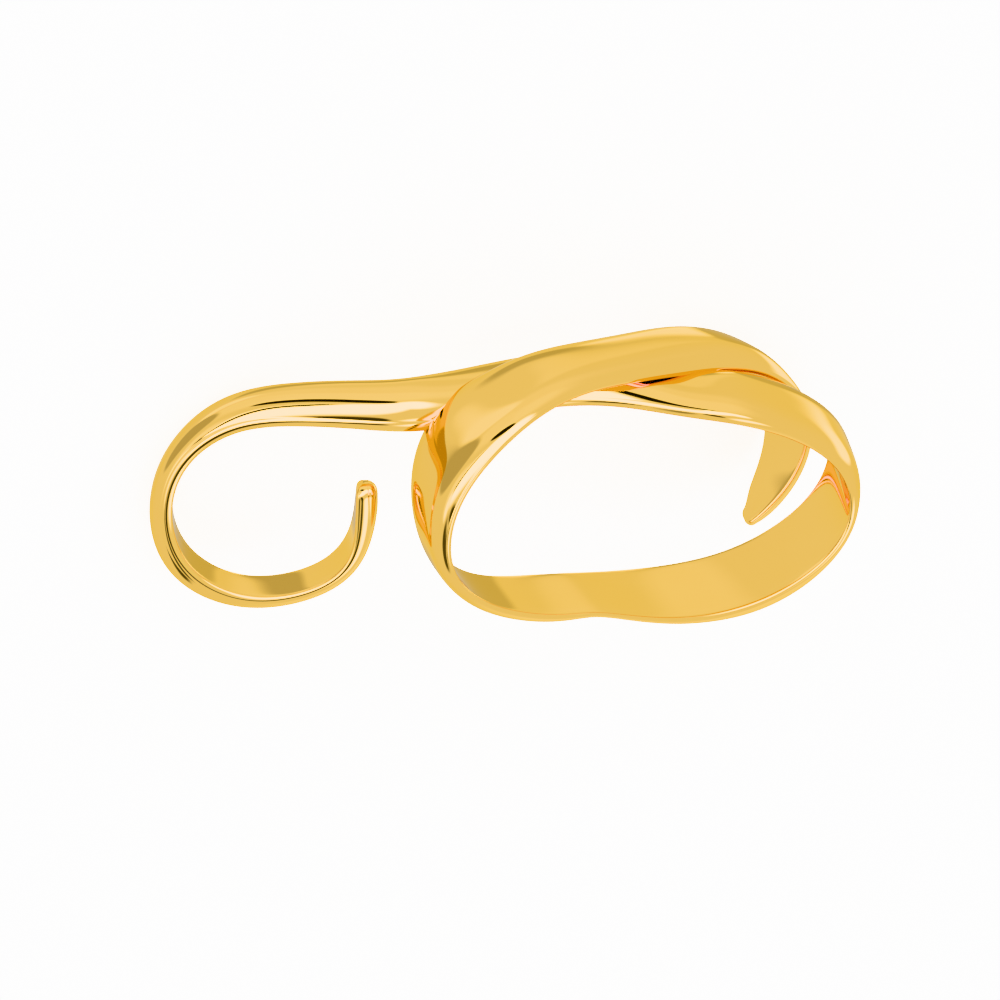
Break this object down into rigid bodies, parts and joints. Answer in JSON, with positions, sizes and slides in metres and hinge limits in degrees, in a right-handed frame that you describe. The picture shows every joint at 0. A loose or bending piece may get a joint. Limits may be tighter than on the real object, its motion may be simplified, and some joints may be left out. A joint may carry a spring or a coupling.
{
  "type": "three-finger ring",
  "caption": "Cast ribbon ring whose polished band spirals from an open loop for one finger over to a wide loop for two fingers and ends in a curled tail.",
  "frame": {"origin": "middle of the bounding box, at the level of the surface that the ring lies on", "axes": "+X along the row of fingers from the open loop to the two-finger loop, +Y out of the back of the hand, +Z along the fingers, up from the surface"},
  "size_m": [0.0683, 0.0312, 0.0199],
  "materials": {
    "gold": "mirror polished, yellow gold plated"
  },
  "bodies": {
    "root": {"ring_band": "gold"}
  },
  "joints": []
}
